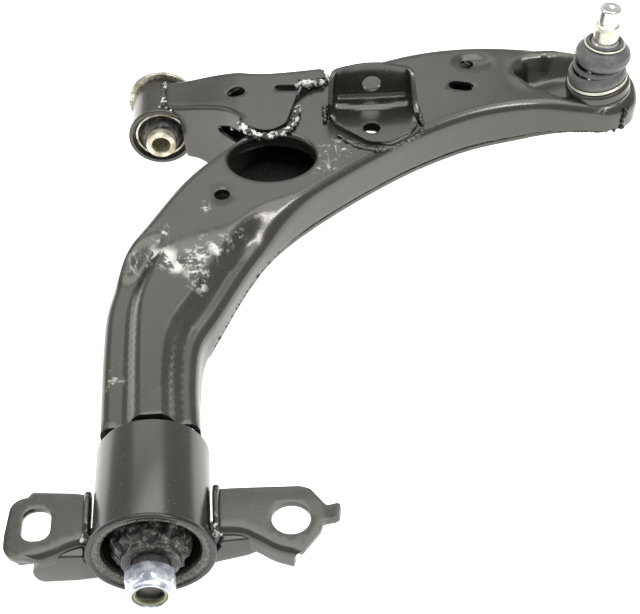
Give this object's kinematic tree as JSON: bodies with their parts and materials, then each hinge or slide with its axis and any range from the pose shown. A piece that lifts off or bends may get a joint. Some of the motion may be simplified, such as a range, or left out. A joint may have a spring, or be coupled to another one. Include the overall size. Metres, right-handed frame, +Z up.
{
  "type": "suspension control arm",
  "caption": "Curved pressed-steel lower control arm with a rear bush in a two-eared bracket, a front bush on a short strut, a link bracket and a booted ball joint.",
  "frame": {"origin": "bottom centre of the whole object's box", "axes": "+Y along the pivot axis, from the rear bush to the front bush; +X outboard, towards the ball joint; +Z up, along the ball joint's stud"},
  "size_m": [0.3978, 0.4218, 0.129],
  "materials": {
    "black_paint": "gloss black dip paint over pressed steel",
    "zinc_plate": "clear zinc plate",
    "yellow_zinc_plate": "yellow zinc plate",
    "bare_steel": "machined steel",
    "bush_rubber": "matte moulded rubber",
    "boot_rubber": "satin moulded rubber",
    "nylon": "moulded nylon"
  },
  "bodies": {
    "arm": {"arm_upper_shell": "black_paint", "arm_lower_plate": "black_paint", "front_strut": "black_paint", "front_tube_weld": "black_paint", "strut_weld": "black_paint", "link_bracket": "black_paint", "link_bracket_weld": "black_paint", "rear_pin": "bare_steel", "rear_nut": "zinc_plate", "rear_nut_insert": "nylon", "rear_bush_inner_sleeve": "zinc_plate", "front_bush_tube": "black_paint", "front_bush_outer_sleeve": "yellow_zinc_plate", "front_bush_rubber": "bush_rubber", "ball_housing": "black_paint", "ball_housing_cap": "bare_steel", "ball_seat": "nylon", "boot_lower": "boot_rubber", "boot_lower_clip": "zinc_plate"},
    "rear_mount": {"rear_bush_rubber": "bush_rubber", "rear_bush_outer_sleeve": "black_paint", "rear_bush_tube": "black_paint", "bracket_left_ear": "black_paint", "bracket_right_ear": "black_paint", "bracket_cradle": "black_paint", "bracket_weld_left": "black_paint", "bracket_weld_right": "black_paint"},
    "front_sleeve": {"front_bush_inner_sleeve": "yellow_zinc_plate"},
    "boot_middle": {"boot_waist": "boot_rubber"},
    "boot_top": {"boot_upper": "boot_rubber", "boot_upper_clip": "zinc_plate"},
    "stud": {"ball_stud": "zinc_plate"}
  },
  "joints": [
    {"name": "rear_bush_twist", "type": "hinge", "parent": "arm", "child": "rear_mount", "pos_m": [-0.12411, -0.1566, 0.034], "axis": [0, 1, 0], "range_deg": [-20, 20], "stiffness_Nm_per_rad": 100},
    {"name": "front_bush_twist", "type": "hinge", "parent": "arm", "child": "front_sleeve", "pos_m": [-0.12411, 0.1794, 0.034], "axis": [0, 1, 0], "range_deg": [-20, 20], "stiffness_Nm_per_rad": 40},
    {"name": "stud_swing_x", "type": "hinge", "parent": "arm", "child": "boot_middle", "pos_m": [0.17089, 0.1484, 0.07], "axis": [1, 0, 0], "range_deg": [-18, 18], "deforming": ["boot_lower", "boot_waist"]},
    {"name": "stud_swing_y", "type": "hinge", "parent": "boot_middle", "child": "boot_top", "pos_m": [0.17089, 0.1484, 0.07], "axis": [0, 1, 0], "range_deg": [-29, 7], "deforming": ["boot_upper"]},
    {"name": "stud_spin", "type": "hinge", "parent": "boot_top", "child": "stud", "pos_m": [0.17089, 0.1484, 0.07], "axis": [0, 0, 1], "continuous": true}
  ]
}
